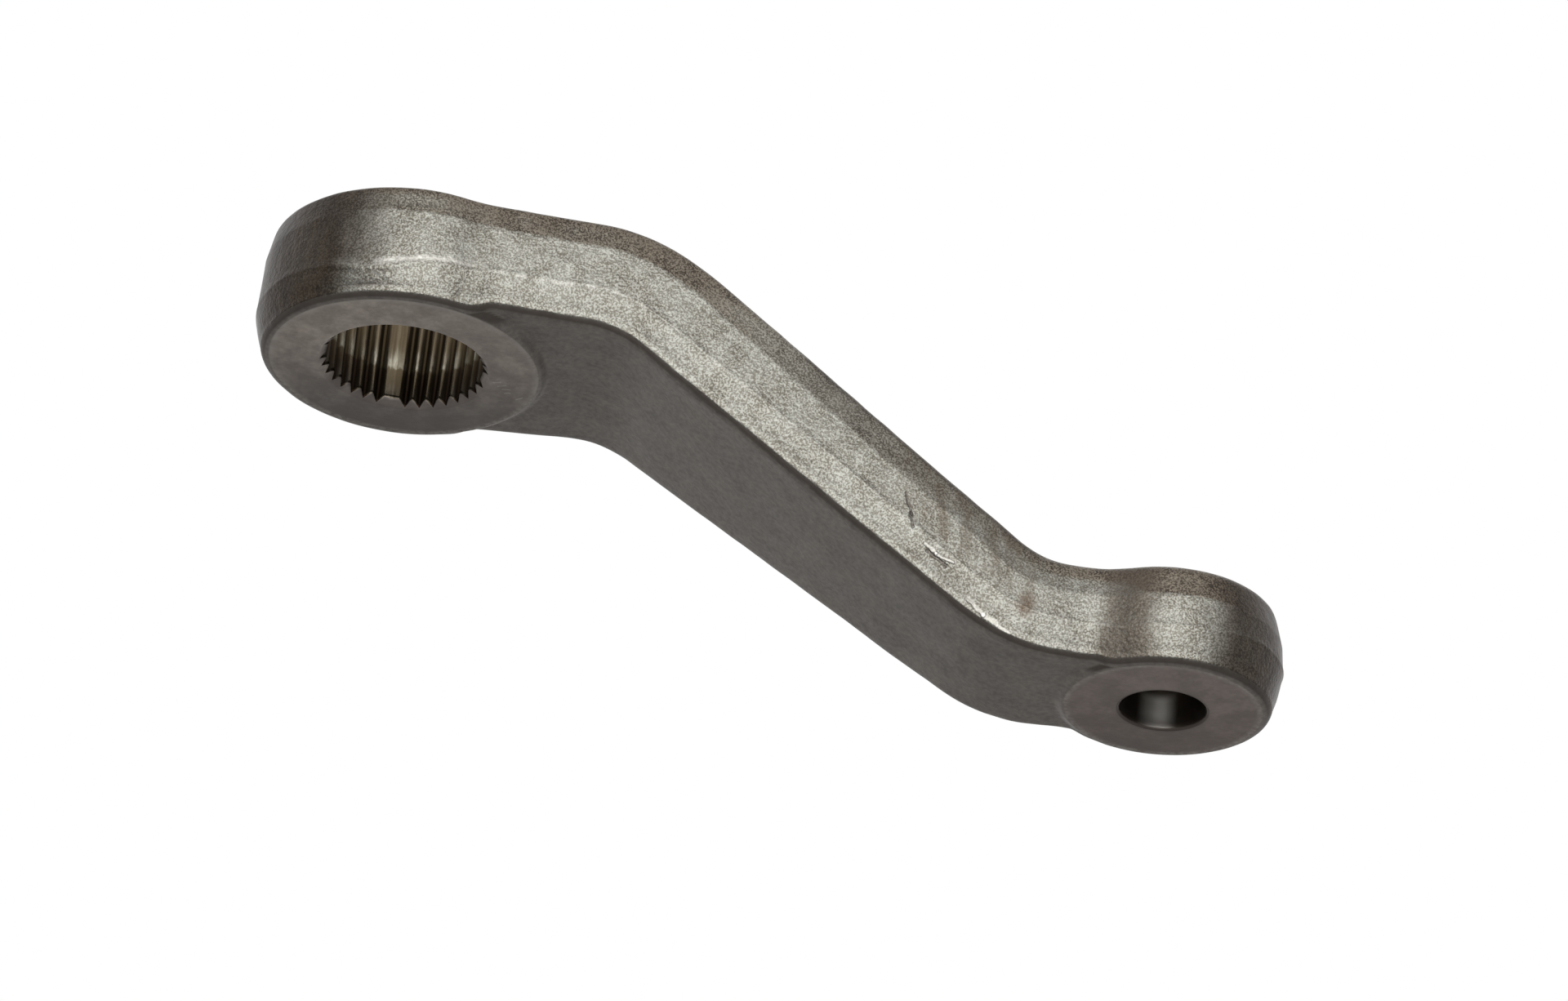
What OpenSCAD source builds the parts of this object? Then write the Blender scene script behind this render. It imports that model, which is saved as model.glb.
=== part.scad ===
// Forged steel pitman arm, one solid. Millimetres.
// The origin is on the axis of the serrated bore, in the plane of its lower face.
// +X runs along the arm towards the ball stud hole, +Z up along the steering shaft.

/* [Arm] */
// Distance between the shaft axis and the stud axis, seen from above
centre_distance = 152; // [130:1:180]
// Height of the shaft boss's lower face above the stud boss's lower face
arm_drop = 53; // [40:0.5:65]

/* [Shaft boss] */
// Diameter of the shaft boss at its parting line
shaft_boss_d = 59.3; // [54:0.1:70]
// Height of the shaft boss between its two machined faces
shaft_boss_h = 23.9; // [19:0.1:32]
// Diameter of the lower machined face, against which the nut washer seats
shaft_pad_d = 52.3; // [46:0.1:54]
// Height by which that face stands proud of the shank's underside
shaft_pad_h = 1.6; // [0.5:0.1:2]

/* [Stud boss] */
// Diameter of the stud boss at its parting line
stud_boss_d = 45; // [38:0.5:54]
// Height of the stud boss between its two machined faces
stud_boss_h = 20.9; // [16:0.1:28]
// Diameter of the lower machined face round the stud hole
stud_pad_d = 38; // [32:0.1:40]
// Height by which that face stands proud of the shank's underside
stud_pad_h = 1; // [0.3:0.1:1.5]
// Height by which both lower machined faces stand proud of the skin round them
facing_skim = 0.1; // [0.05:0.05:0.3]

/* [Shank] */
// Depth by which the shank's side line lies inside the shaft boss
shaft_neck = 1.2; // [1:0.1:6]
// Depth by which the shank's side line lies inside the stud boss
stud_neck = 6.5; // [3:0.1:9]
// Radius of the fillet between the shank and the shaft boss, seen from above
shaft_fillet_r = 27; // [10:1:40]
// Radius of the fillet between the shank and the stud boss, seen from above
stud_fillet_r = 17.5; // [8:0.5:30]
// Distance from the shaft axis to the corner where the underside turns down
under_bend_from_shaft = 39.6; // [34:0.1:52]
// Half length of the rounding at that corner
under_bend_soft = 6; // [2:0.1:12]
// Distance from the stud axis to the corner where the underside levels out
under_bend_from_stud = 33.5; // [26:0.1:42]
// Half length of the rounding at that corner
under_level_soft = 10; // [4:0.5:16]
// Distance from the shaft axis to the corner where the top turns down
top_bend_from_shaft = 47; // [40:0.2:58]
// Half length of the rounding at that corner
top_bend_soft = 12.2; // [4:0.2:18]
// Distance from the stud axis to the corner where the top levels out
top_bend_from_stud = 27.2; // [22:0.2:34]
// Half length of the rounding at that corner
top_level_soft = 5; // [2:0.2:12]

/* [Forging] */
// Height of the parting line above the underside at the shaft boss, as a share of the thickness
shaft_parting_share = 0.31; // [0.2:0.01:0.6]
// The same share at the stud boss
stud_parting_share = 0.34; // [0.2:0.01:0.6]
// Sideways draft from the parting line down to the lower edge
draft_under = 1.6; // [0.6:0.1:2.4]
// Radius of the lower edge
under_edge_r = 1.9; // [0.5:0.1:3]
// Sideways draft from the parting line up to the sloping band
draft_top = 0.3; // [0.1:0.1:2]
// Height of the sloping band below the top edge at the shaft boss
shaft_band_h = 6.1; // [3:0.1:9]
// Width by which the band leans in at the shaft boss
shaft_band_w = 1.2; // [0.6:0.1:3]
// Width of the rounding above the band at the shaft boss
shaft_round_w = 1.2; // [0.5:0.1:3]
// Height of the sloping band below the top edge at the stud boss
stud_band_h = 7.4; // [3:0.1:9]
// Width by which the band leans in at the stud boss
stud_band_w = 1.8; // [0.6:0.1:3]
// Width of the rounding above the band at the stud boss
stud_round_w = 2.3; // [0.5:0.1:3]
// Depth of the machined facing on top of each boss
facing_depth = 0.2; // [0.1:0.1:1]

/* [Serration] */
// Number of groove places round the bore
serration_count = 36; // [24:4:48]
// Number of places left blank, spread evenly
blank_count = 4; // [1:1:4]
// Turn of the first blank place from the arm's centre line
blank_angle = 6; // [0:1:45]
// Radius of the groove roots at the lower face
root_r = 16.4; // [14:0.1:17.5]
// Depth of a groove, from its land to its root
groove_depth = 1.15; // [0.7:0.05:1.3]
// Growth in radius for each millimetre up the bore
serration_taper = 0.03125; // [0.01:0.00125:0.05]
// Width of the 45 degree lead-in past the groove roots at each mouth
lead_in = 0.3; // [0.1:0.1:0.8]

/* [Stud hole] */
// Radius of the tapered stud hole at the lower face
stud_hole_r = 8.4; // [6.5:0.1:10]
// Loss of radius for each millimetre up the hole
stud_taper = 0.0625; // [0.04:0.0025:0.1]
// Width of the broken edge at each mouth
edge_break = 0.4; // [0.2:0.1:0.8]

/* [Hidden] */

shaft_boss_r = shaft_boss_d / 2;
stud_boss_r = stud_boss_d / 2;
shaft_fillet_steps = 6;
stud_fillet_steps = 8;
shaft_arc_steps = 26;
stud_arc_steps = 22;
shank_steps = 34;
round_steps = 3;
circle_facets = 96;
bore_facets = 144;
overrun = 1;
// Ring of forged skin left between a machined face and the edge outside it
skin_margin = 1;
foot_margin = 0.3;
// Depth to which a lower machined face's disc reaches into the forging
pad_depth = 4;

// Height along the arm, with a straight slope between two rounded corners

function ease(t, r) = t <= -r ? 0 : t >= r ? t : pow(t + r, 2) / (4 * r);

function slope_down(x, from, from_soft, to, to_soft) =
    (ease(x - from, from_soft) - ease(x - to, to_soft)) / (to - from);

function under_z(x) = shaft_pad_h - (arm_drop + shaft_pad_h - stud_pad_h)
    * slope_down(x, under_bend_from_shaft, under_bend_soft,
        centre_distance - under_bend_from_stud, under_level_soft);

function top_z(x) = shaft_boss_h + facing_depth - (arm_drop + shaft_boss_h - stud_boss_h)
    * slope_down(x, top_bend_from_shaft, top_bend_soft,
        centre_distance - top_bend_from_stud, top_level_soft);

// Half of the outline at the parting line, seen from above, as [x, y, normal x, normal y]

side_start = shaft_boss_r - shaft_neck;
side_slope = (stud_boss_r - stud_neck - side_start) / centre_distance;
side_unit = sqrt(1 + side_slope * side_slope);
side_turn = atan(side_slope);

function fillet_reach(boss, fillet, start, slope) =
    let (c = start + fillet * side_unit, m = slope, q = side_unit)
    (-m * c + sqrt(m * m * c * c - q * q * (c * c - pow(boss + fillet, 2)))) / (q * q);

shaft_reach = fillet_reach(shaft_boss_r, shaft_fillet_r, side_start, side_slope);
shaft_fillet = [shaft_reach, side_start + side_slope * shaft_reach + shaft_fillet_r * side_unit];
stud_start = stud_boss_r - stud_neck;
stud_reach = fillet_reach(stud_boss_r, stud_fillet_r, stud_start, -side_slope);
stud_fillet = [centre_distance - stud_reach,
    stud_start - side_slope * stud_reach + stud_fillet_r * side_unit];

shaft_tangent = atan2(shaft_fillet.y, shaft_fillet.x);
stud_tangent = atan2(stud_fillet.y, -stud_reach);
side_angle = 270 + side_turn;

function on_boss(x, r, a) = [x + r * cos(a), r * sin(a), cos(a), sin(a)];
function on_fillet(c, r, a) = [c.x + r * cos(a), c.y + r * sin(a), -cos(a), -sin(a)];
function mix(a, b, t) = a * (1 - t) + b * t;

shaft_side = on_fillet(shaft_fillet, shaft_fillet_r, side_angle);
stud_side = on_fillet(stud_fillet, stud_fillet_r, side_angle);

half_outline = [
    for (i = [0 : shaft_arc_steps])
        on_boss(0, shaft_boss_r, mix(180, shaft_tangent, i / shaft_arc_steps)),
    for (i = [1 : shaft_fillet_steps])
        on_fillet(shaft_fillet, shaft_fillet_r,
            mix(180 + shaft_tangent, side_angle, i / shaft_fillet_steps)),
    for (i = [1 : shank_steps - 1]) mix(shaft_side, stud_side, i / shank_steps),
    for (i = [0 : stud_fillet_steps - 1])
        on_fillet(stud_fillet, stud_fillet_r,
            mix(side_angle, 180 + stud_tangent, i / stud_fillet_steps)),
    for (i = [0 : stud_arc_steps])
        on_boss(centre_distance, stud_boss_r, mix(stud_tangent, 0, i / stud_arc_steps))
];
half_count = len(half_outline);

outline = [
    for (p = half_outline) p,
    for (i = [half_count - 2 : -1 : 1])
        let (p = half_outline[i]) [p[0], -p[1], p[2], -p[3]]
];
ring_count = len(outline);

// How much longer an upright distance grows where a side of the shank slopes

function steepness(rise) = sqrt(1 + rise * rise);
function under_stretch(x) = steepness(under_z(x + 0.5) - under_z(x - 0.5));
function top_stretch(x) = steepness(top_z(x + 0.5) - top_z(x - 0.5));

// Levels from the underside to the top, as [inset at the shaft end, inset at the stud end,
// share of the thickness at each end, height above the underside, height above the top at each end].
// Below the parting line the inset grows with the slope, as the draft's height does.

function round_level(t) =
    let (shaft_k = shaft_round_w / shaft_band_h, stud_k = stud_round_w / stud_band_h)
    [
        draft_top + shaft_band_w * (1 - pow(1 - t, 2) * shaft_k) + t * t * shaft_round_w,
        draft_top + stud_band_w * (1 - pow(1 - t, 2) * stud_k) + t * t * stud_round_w,
        1, 1, 0, -pow(1 - t, 2) * shaft_round_w, -pow(1 - t, 2) * stud_round_w
    ];

levels = [
    for (a = [0 : 30 : 90])
        let (inset = draft_under + under_edge_r * (1 - sin(a)))
        [inset, inset, 0, 0, under_edge_r * (1 - cos(a)), 0, 0],
    [0, 0, shaft_parting_share, stud_parting_share, 0, 0, 0],
    [draft_top, draft_top, 1, 1, 0, -shaft_band_h, -stud_band_h],
    for (i = [0 : round_steps]) round_level(i / round_steps)
];
level_count = len(levels);

function along(x) = max(0, min(1, x / centre_distance));

foot_inset = draft_under + under_edge_r;

function drawn_in(p, inset) = [p[0] - inset * p[2], p[1] - inset * p[3]];

// The skin under a boss comes down almost to its machined face, and rises again beside its rim
function foot(q, x, r, h) =
    (h - facing_skim) * max(0, min(1, 1 - (norm(q - [x, 0]) - r) / under_edge_r));

function boss_foot(p) =
    let (q = drawn_in(p, foot_inset))
    foot(q, 0, shaft_pad_d / 2, shaft_pad_h)
        + foot(q, centre_distance, stud_pad_d / 2, stud_pad_h);

function forging_point(p, level) =
    let (
        stretch = level[2] > 0 ? 1 : under_stretch(p[0]),
        q = drawn_in(p, stretch * mix(level[0], level[1], along(p[0]))),
        t = along(q.x),
        share = mix(level[2], level[3], t)
    )
    [q.x, q.y, mix(under_z(q.x) - boss_foot(p), top_z(q.x), share)
        + level[4] * under_stretch(q.x) + mix(level[5], level[6], t) * top_stretch(q.x)];

forging_points = [for (level = levels) for (p = outline) forging_point(p, level)];

function at(level, i) = level * ring_count + i % ring_count;

side_faces = [
    for (k = [0 : level_count - 2]) for (i = [0 : ring_count - 1]) each [
        [at(k, i), at(k, i + 1), at(k + 1, i + 1)],
        [at(k, i), at(k + 1, i + 1), at(k + 1, i)]
    ]
];

function cap(level) = [
    for (i = [0 : half_count - 2]) each [
        if (i < half_count - 2) [at(level, i), at(level, i + 1), at(level, ring_count - i - 1)],
        if (i > 0) [at(level, i), at(level, i + 1 < half_count - 1 ? ring_count - i - 1 : i + 1),
            at(level, ring_count - i)]
    ]
];

function turned(faces) = [for (f = faces) [f[2], f[1], f[0]]];

module forging() {
    polyhedron(
        points = forging_points,
        faces = concat(side_faces, turned(cap(0)), cap(level_count - 1)),
        convexity = 6
    );
}

// Machined face that stands proud of the underside, with a rim as round as the lower edge
module pad(r, h) {
    rotate_extrude($fn = circle_facets) {
        square([r, h]);
        translate([0, under_edge_r]) square([r + under_edge_r, h - under_edge_r]);
        translate([r, under_edge_r]) circle(under_edge_r, $fn = circle_facets / 3);
    }
}

// The outline just inside the lower edge, which limits the machined faces at the bosses' free sides
module foot_outline() {
    polygon([for (p = outline) drawn_in(p, foot_inset + foot_margin)]);
}

module pads() {
    intersection() {
        translate([0, 0, -arm_drop]) linear_extrude(height = 2 * arm_drop) foot_outline();
        union() {
            pad(shaft_pad_d / 2, shaft_pad_h + pad_depth);
            translate([centre_distance, 0, -arm_drop]) pad(stud_pad_d / 2, stud_pad_h + pad_depth);
        }
    }
}

// Flat facing cut into the top of a boss
module facing(r) {
    cylinder(h = facing_depth + overrun, r = r, $fn = circle_facets);
}

land_r = root_r - groove_depth;
groove_pitch = 360 / serration_count;
blank_every = serration_count / blank_count;
// The grooves' cutter reaches a little way inside the land
groove_overlap = 0.05;
groove_base = groove_depth + groove_overlap;
groove_turn = atan(serration_taper);

function bore_r(r, z) = r + z * serration_taper;

module groove() {
    translate([bore_r(root_r, -overrun), 0, -overrun]) rotate([0, groove_turn, 0])
        linear_extrude(height = shaft_boss_h + 2 * overrun + facing_depth)
            polygon([[0, 0], [-groove_base, groove_base], [-groove_base, -groove_base]]);
}

// Tapered bore with 90 degree grooves, some places of which stay blank
module serrated_bore() {
    lead_bottom = root_r + lead_in;
    lead_top = bore_r(root_r, shaft_boss_h) + lead_in;
    translate([0, 0, -overrun])
        cylinder(h = shaft_boss_h + 2 * overrun, r1 = bore_r(land_r, -overrun),
            r2 = bore_r(land_r, shaft_boss_h + overrun), $fn = bore_facets);
    for (i = [0 : serration_count - 1])
        if (i % blank_every != 0) rotate([0, 0, blank_angle + i * groove_pitch]) groove();
    translate([0, 0, -overrun])
        cylinder(h = lead_bottom + overrun, r1 = lead_bottom + overrun, r2 = 0, $fn = bore_facets);
    translate([0, 0, shaft_boss_h - lead_top])
        cylinder(h = lead_top + overrun, r1 = 0, r2 = lead_top + overrun, $fn = bore_facets);
}

// Tapered hole for the ball stud, wide end down
module stud_hole() {
    top_r = stud_hole_r - stud_boss_h * stud_taper;
    translate([0, 0, -overrun])
        cylinder(h = stud_boss_h + 2 * overrun, r1 = stud_hole_r + overrun * stud_taper,
            r2 = top_r - overrun * stud_taper, $fn = circle_facets);
    translate([0, 0, -overrun])
        cylinder(h = edge_break + overrun + stud_hole_r, r1 = stud_hole_r + edge_break + overrun,
            r2 = 0, $fn = circle_facets);
    translate([0, 0, stud_boss_h - edge_break - top_r])
        cylinder(h = edge_break + overrun + top_r, r1 = 0, r2 = top_r + edge_break + overrun,
            $fn = circle_facets);
}

module pitman_arm() {
    shaft_facing_r = shaft_boss_r - draft_top - shaft_band_w - shaft_round_w - skin_margin;
    stud_facing_r = stud_boss_r - draft_top - stud_band_w - stud_round_w - skin_margin;
    color([0.36, 0.34, 0.32]) difference() {
        union() {
            forging();
            pads();
        }
        translate([0, 0, shaft_boss_h]) facing(shaft_facing_r);
        translate([centre_distance, 0, stud_boss_h - arm_drop]) facing(stud_facing_r);
        serrated_bore();
        translate([centre_distance, 0, -arm_drop]) stud_hole();
    }
}

pitman_arm();
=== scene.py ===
import math
import bmesh
import bpy
import numpy as np
from mathutils import Matrix


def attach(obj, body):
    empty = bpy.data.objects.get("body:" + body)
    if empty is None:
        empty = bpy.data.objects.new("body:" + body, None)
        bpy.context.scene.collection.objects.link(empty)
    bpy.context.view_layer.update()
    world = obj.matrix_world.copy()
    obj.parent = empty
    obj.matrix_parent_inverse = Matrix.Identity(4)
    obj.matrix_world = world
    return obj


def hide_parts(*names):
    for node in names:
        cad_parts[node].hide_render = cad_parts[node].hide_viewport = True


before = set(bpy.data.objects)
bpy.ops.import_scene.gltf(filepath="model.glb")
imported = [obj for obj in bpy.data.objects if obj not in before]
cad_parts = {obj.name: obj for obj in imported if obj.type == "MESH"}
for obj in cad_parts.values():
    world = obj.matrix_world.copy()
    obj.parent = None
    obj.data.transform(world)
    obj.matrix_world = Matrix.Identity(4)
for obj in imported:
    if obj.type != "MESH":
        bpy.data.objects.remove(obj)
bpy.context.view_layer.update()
print("frame loaded, nodes:", ", ".join(sorted(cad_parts)))

mm = 0.001  # the shapes below are worked out in millimetres and made in metres

cameraView = {
    "turn": 4.05,  # degrees from +Y towards +X
    "rise": 28.0,  # degrees above the horizon, so the camera looks up
    "roll": 5.40,
    "lens": 135.9,  # millimetres on a 36 mm wide sensor
    "originRight": -73.70,  # where the camera sees the arm's origin, in millimetres
    "originDown": -25.70,
    "originAway": 1146.8,
}

forging = {
    "centreDistance": 152.0,
    "drop": 53.0,
    "shaftBossR": 29.65,
    "shaftBossH": 23.9,
    "shaftPadR": 26.15,
    "shaftPadH": 1.6,
    "studBossR": 22.5,
    "studBossH": 20.9,
    "studPadR": 19.0,
    "studPadH": 1.0,
    "padSoft": 2.2,  # width of the soft step round each proud face
    "shaftNeck": 1.2,
    "studNeck": 6.5,
    "shaftFilletR": 27.0,
    "studFilletR": 17.5,
    "underBendFromShaft": 39.6,
    "underBendSoft": 6.0,
    "underBendFromStud": 33.5,
    "underLevelSoft": 10.0,
    "topBendFromShaft": 47.0,
    "topBendSoft": 12.2,
    "topBendFromStud": 27.2,
    "topLevelSoft": 5.0,
    "shaftParting": 0.31,  # height of the parting line as a share of the thickness
    "studParting": 0.34,
    "noseRise": 0.2,  # how far the parting line rises towards the nose
    "frontDip": 0.29,  # and how far it sinks on the front of the shaft boss
    "dipPlace": -9.0,
    "dipWidth": 9.0,
    "draftUnder": 1.6,
    "flankBulge": 0.35,  # how much of the lower draft is a curve
    "draftTop": 0.3,
    "underEdgeR": 1.9,
    "shaftBandH": 6.1,
    "shaftBandW": 1.2,
    "shaftRoundW": 1.2,
    "studBandH": 7.4,
    "studBandW": 1.8,
    "studRoundW": 2.3,
    "facingDepth": 0.2,
    "skinMargin": 1.0,  # ring of forged skin left between the facing and the edge
}

surface = {
    "waveSize": 14.0,  # length of the slow waves that the dies leave
    "waveHeight": 0.16,
    "lumpSize": 3.2,
    "lumpHeight": 0.06,
    "flashHeight": 0.13,  # trimmed flash along the parting line
    "flashWidth": 0.45,
    "flashWander": 0.5,
    "seed": 7,
}

serration = {
    "places": 36,
    "blanks": 4,
    "blankAngle": 6.0,
    "rootR": 16.4,
    "depth": 1.15,
    "taper": 0.03125,
    "leadIn": 0.3,
}

studHole = {
    "r": 8.4,
    "taper": 0.0625,
    "edgeBreak": 0.4,
}

meshSteps = {
    "shaftArc": 84,
    "shaftFillet": 16,
    "shank": 112,
    "studFillet": 20,
    "studArc": 62,
    "across": 40,
    "circleRows": 12,
    "outerRows": 20,
    "facingRows": 3,
    "boreRows": 30,
    "leadRows": 4,
    "holeAngles": 128,
    "holeRows": 20,
    "breakRows": 4,
}


# Shape of the forging

def ease(t, r):
    # nothing before -r, the distance itself after r, and a parabola between them
    return np.where(t <= -r, 0.0, np.where(t >= r, t, (t + r) ** 2 / (4 * r)))


def smooth(t):
    # three t squared less two t cubed, held between 0 and 1
    t = np.clip(t, 0.0, 1.0)
    return t * t * (3 - 2 * t)


def slopeDown(x, start, startSoft, stop, stopSoft):
    # 0 before the first corner, 1 after the second, and a straight slope between them
    return (ease(x - start, startSoft) - ease(x - stop, stopSoft)) / (stop - start)


def shankUnderZ(x):
    # the underside without its proud faces: level, down, level
    fall = forging["drop"] + forging["shaftPadH"] - forging["studPadH"]
    return forging["shaftPadH"] - fall * slopeDown(
        x, forging["underBendFromShaft"], forging["underBendSoft"],
        forging["centreDistance"] - forging["underBendFromStud"], forging["underLevelSoft"])


def shankTopZ(x):
    # the forged top side: level, down, level, and just above the machined facing
    fall = forging["drop"] + forging["shaftBossH"] - forging["studBossH"]
    return forging["shaftBossH"] + forging["facingDepth"] - fall * slopeDown(
        x, forging["topBendFromShaft"], forging["topBendSoft"],
        forging["centreDistance"] - forging["topBendFromStud"], forging["topLevelSoft"])


def underZ(x, y):
    # the shank's underside, lowered by each pad's height inside its rim
    fromShaft = np.hypot(x, y)
    fromStud = np.hypot(x - forging["centreDistance"], y)
    shaftPad = smooth((forging["shaftPadR"] + forging["padSoft"] - fromShaft) / forging["padSoft"])
    studPad = smooth((forging["studPadR"] + forging["padSoft"] - fromStud) / forging["padSoft"])
    return shankUnderZ(x) - forging["shaftPadH"] * shaftPad - forging["studPadH"] * studPad


def filletCentre(bossR, filletR, start, slope):
    # the point that lies a fillet's radius off both the boss's circle and the shank's side line
    unit = math.hypot(1, slope)
    c = start + filletR * unit
    reach = (math.sqrt((slope * c) ** 2 - unit ** 2 * (c * c - (bossR + filletR) ** 2)) - slope * c) / unit ** 2
    return reach, start + slope * reach + filletR * unit


def outlineHalf():
    # rows of x, y and the outward normal, from the back of the shaft boss to the stud boss's nose
    length = forging["centreDistance"]
    start = forging["shaftBossR"] - forging["shaftNeck"]
    stop = forging["studBossR"] - forging["studNeck"]
    slope = (stop - start) / length
    shaftX, shaftY = filletCentre(forging["shaftBossR"], forging["shaftFilletR"], start, slope)
    studReach, studY = filletCentre(forging["studBossR"], forging["studFilletR"], stop, -slope)
    studX = length - studReach
    shaftTangent = math.atan2(shaftY, shaftX)
    studTangent = math.atan2(studY, -studReach)
    side = math.radians(270) + math.atan(slope)

    def arc(x, y, r, a, b, steps, sign):
        t = np.linspace(a, b, steps + 1)
        n = sign * np.stack([np.cos(t), np.sin(t)], 1)
        return np.hstack([np.array([x, y]) + sign * r * n, n])

    shaftArc = arc(0, 0, forging["shaftBossR"], math.pi, shaftTangent, meshSteps["shaftArc"], 1)
    shaftFillet = arc(shaftX, shaftY, forging["shaftFilletR"], math.pi + shaftTangent, side,
                      meshSteps["shaftFillet"], -1)
    studFillet = arc(studX, studY, forging["studFilletR"], side, math.pi + studTangent,
                     meshSteps["studFillet"], -1)
    studArc = arc(length, 0, forging["studBossR"], studTangent, 0, meshSteps["studArc"], 1)
    t = np.linspace(0, 1, meshSteps["shank"] + 1)[1:-1, None]
    shank = shaftFillet[-1] * (1 - t) + studFillet[0] * t
    return np.vstack([shaftArc, shaftFillet[1:], shank, studFillet, studArc[1:]])


def mirrored(half):
    # the half outline followed by its mirror image, without the two points on the centre line
    back = half[-2:0:-1] * np.array([1, -1, 1, -1])
    return np.vstack([half, back])


def steepness(heightOf, x):
    # how much longer an upright distance grows where the side slopes
    return np.hypot(1, heightOf(x + 0.5) - heightOf(x - 0.5))


def levelRows():
    # inset at each end, share of the thickness at each end, height above the underside, and height
    # above the top at each end
    draftUnder, edge, draftTop = forging["draftUnder"], forging["underEdgeR"], forging["draftTop"]
    lower = []
    for a in np.radians(np.linspace(0, 90, 9)):
        inset = draftUnder + edge * (1 - math.sin(a))
        lower.append((inset, inset, 0, 0, edge * (1 - math.cos(a)), 0, 0))
    for k in (0.12, 0.26, 0.4, 0.54, 0.68, 0.8, 0.9, 0.96):
        inset = draftUnder * (1 - k) * (1 - forging["flankBulge"] * k)
        lower.append((inset, inset, k * forging["shaftParting"], k * forging["studParting"],
                      edge * (1 - k), 0, 0))
    parting = np.array((0, 0, forging["shaftParting"], forging["studParting"], 0, 0, 0))
    band = np.array((draftTop, draftTop, 1, 1, 0, -forging["shaftBandH"], -forging["studBandH"]))
    upper = [blend(parting, band, k) for k in (0.04, 0.1, 0.18, 0.28, 0.38, 0.48, 0.58, 0.68, 0.78, 0.88, 0.95)]
    rounding = []
    for t in np.linspace(0, 1, 8):
        row = [0, 0, 1, 1, 0, 0, 0]
        for end, name in enumerate(("shaft", "stud")):
            bandW, roundW = forging[name + "BandW"], forging[name + "RoundW"]
            share = (1 - t) ** 2 * roundW / forging[name + "BandH"]
            row[end] = draftTop + bandW * (1 - share) + t * t * roundW
            row[5 + end] = -(1 - t) ** 2 * roundW
        rounding.append(row)
    leaning = [blend(band, np.array(rounding[0]), k) for k in (0.1, 0.25, 0.5, 0.75)]
    return np.vstack([lower, parting, upper, band, leaning, rounding])


def blend(a, b, t):
    return a * (1 - t) + b * t


def partingShare(x):
    along = np.clip(x / forging["centreDistance"], 0, 1)
    return blend(forging["shaftParting"], forging["studParting"], along)


def raised(share, x):
    # the parting line moves up towards the nose and down round the dip, a bell curve, and the other
    # shares stretch in proportion below and above it
    rise = forging["noseRise"] * smooth((x - forging["centreDistance"]) / forging["studBossR"])
    dip = forging["frontDip"] * np.exp(-((x - forging["dipPlace"]) / forging["dipWidth"]) ** 2)
    parting = partingShare(x)
    moved = parting ** (1 - rise + dip)
    below = share * moved / parting
    above = 1 - (1 - share) * (1 - moved) / (1 - parting)
    return np.where(share < parting, below, above)


def partingZ(x):
    return blend(shankUnderZ(x), shankTopZ(x), raised(partingShare(x), x))


def flankPoints(outline, levels):
    # each level is the outline drawn in by its inset, at its share of the thickness; below the
    # parting line the inset grows with the slope, as the draft's height does
    along = np.clip(outline[:, 0] / forging["centreDistance"], 0, 1)[None]
    lower = levels[:, 2:3] < forging["shaftParting"]
    stretch = np.where(lower, steepness(shankUnderZ, outline[None, :, 0]), 1.0)
    inset = blend(levels[:, :1], levels[:, 1:2], along) * stretch
    x = outline[None, :, 0] - inset * outline[None, :, 2]
    y = outline[None, :, 1] - inset * outline[None, :, 3]
    foot = shankUnderZ(x[:1]) - underZ(x[:1], y[:1])
    along = np.clip(x / forging["centreDistance"], 0, 1)
    share = raised(blend(levels[:, 2:3], levels[:, 3:4], along), x)
    above = levels[:, 4:5] * steepness(shankUnderZ, x)
    below = blend(levels[:, 5:6], levels[:, 6:7], along) * steepness(shankTopZ, x)
    z = blend(shankUnderZ(x) - foot, shankTopZ(x), share) + above + below
    return np.stack([x, y, z], -1)


def latticeNoise(points, size, seed):
    # random values at the corners of a lattice, smoothly joined, from -1 to 1
    p = points / size
    cell = np.floor(p).astype(np.int64)
    f = p - cell
    f = f * f * (3 - 2 * f)
    total = np.zeros(points.shape[:-1])
    for corner in range(8):
        step = np.array([corner & 1, corner >> 1 & 1, corner >> 2 & 1])
        c = cell + step
        mixed = c[..., 0] * 73856093 ^ c[..., 1] * 19349663 ^ c[..., 2] * 83492791 ^ seed * 2654435
        mixed = (mixed ^ (mixed >> 13)) * 1274126177 & 0x7FFFFFFF
        value = (mixed ^ (mixed >> 16)) % 65536 / 32767.5 - 1
        weight = np.prod(np.where(step == 1, f, 1 - f), axis=-1)
        total += value * weight
    return total


def ridgeWander(points):
    # how far above the parting line the flash runs
    return surface["flashWander"] * latticeNoise(points * np.array([1, 1, 0.2]), 9.0, surface["seed"])


def addFlash(points, outline, levels):
    # a ridge along the parting line, a bell curve of the height above it, broken here and there
    normal = np.stack([outline[:, 2], outline[:, 3], np.zeros(len(outline))], 1)[None]
    parting = np.argmin(np.abs(levels[:, 0]))  # the one level with no inset
    height = points[..., 2] - points[parting][None, :, 2] - ridgeWander(points[parting])[None]
    broken = smooth(0.5 + 1.5 * latticeNoise(points, 6.0, surface["seed"] + 1))
    ridge = np.exp(-(height / surface["flashWidth"]) ** 2) * (0.35 + 0.65 * broken)
    rows = np.linspace(0, 1, len(levels))
    hold = smooth(rows / 0.12) * smooth((1 - rows) / 0.12)
    return points + normal * (surface["flashHeight"] * ridge * hold[:, None])[..., None]


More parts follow.
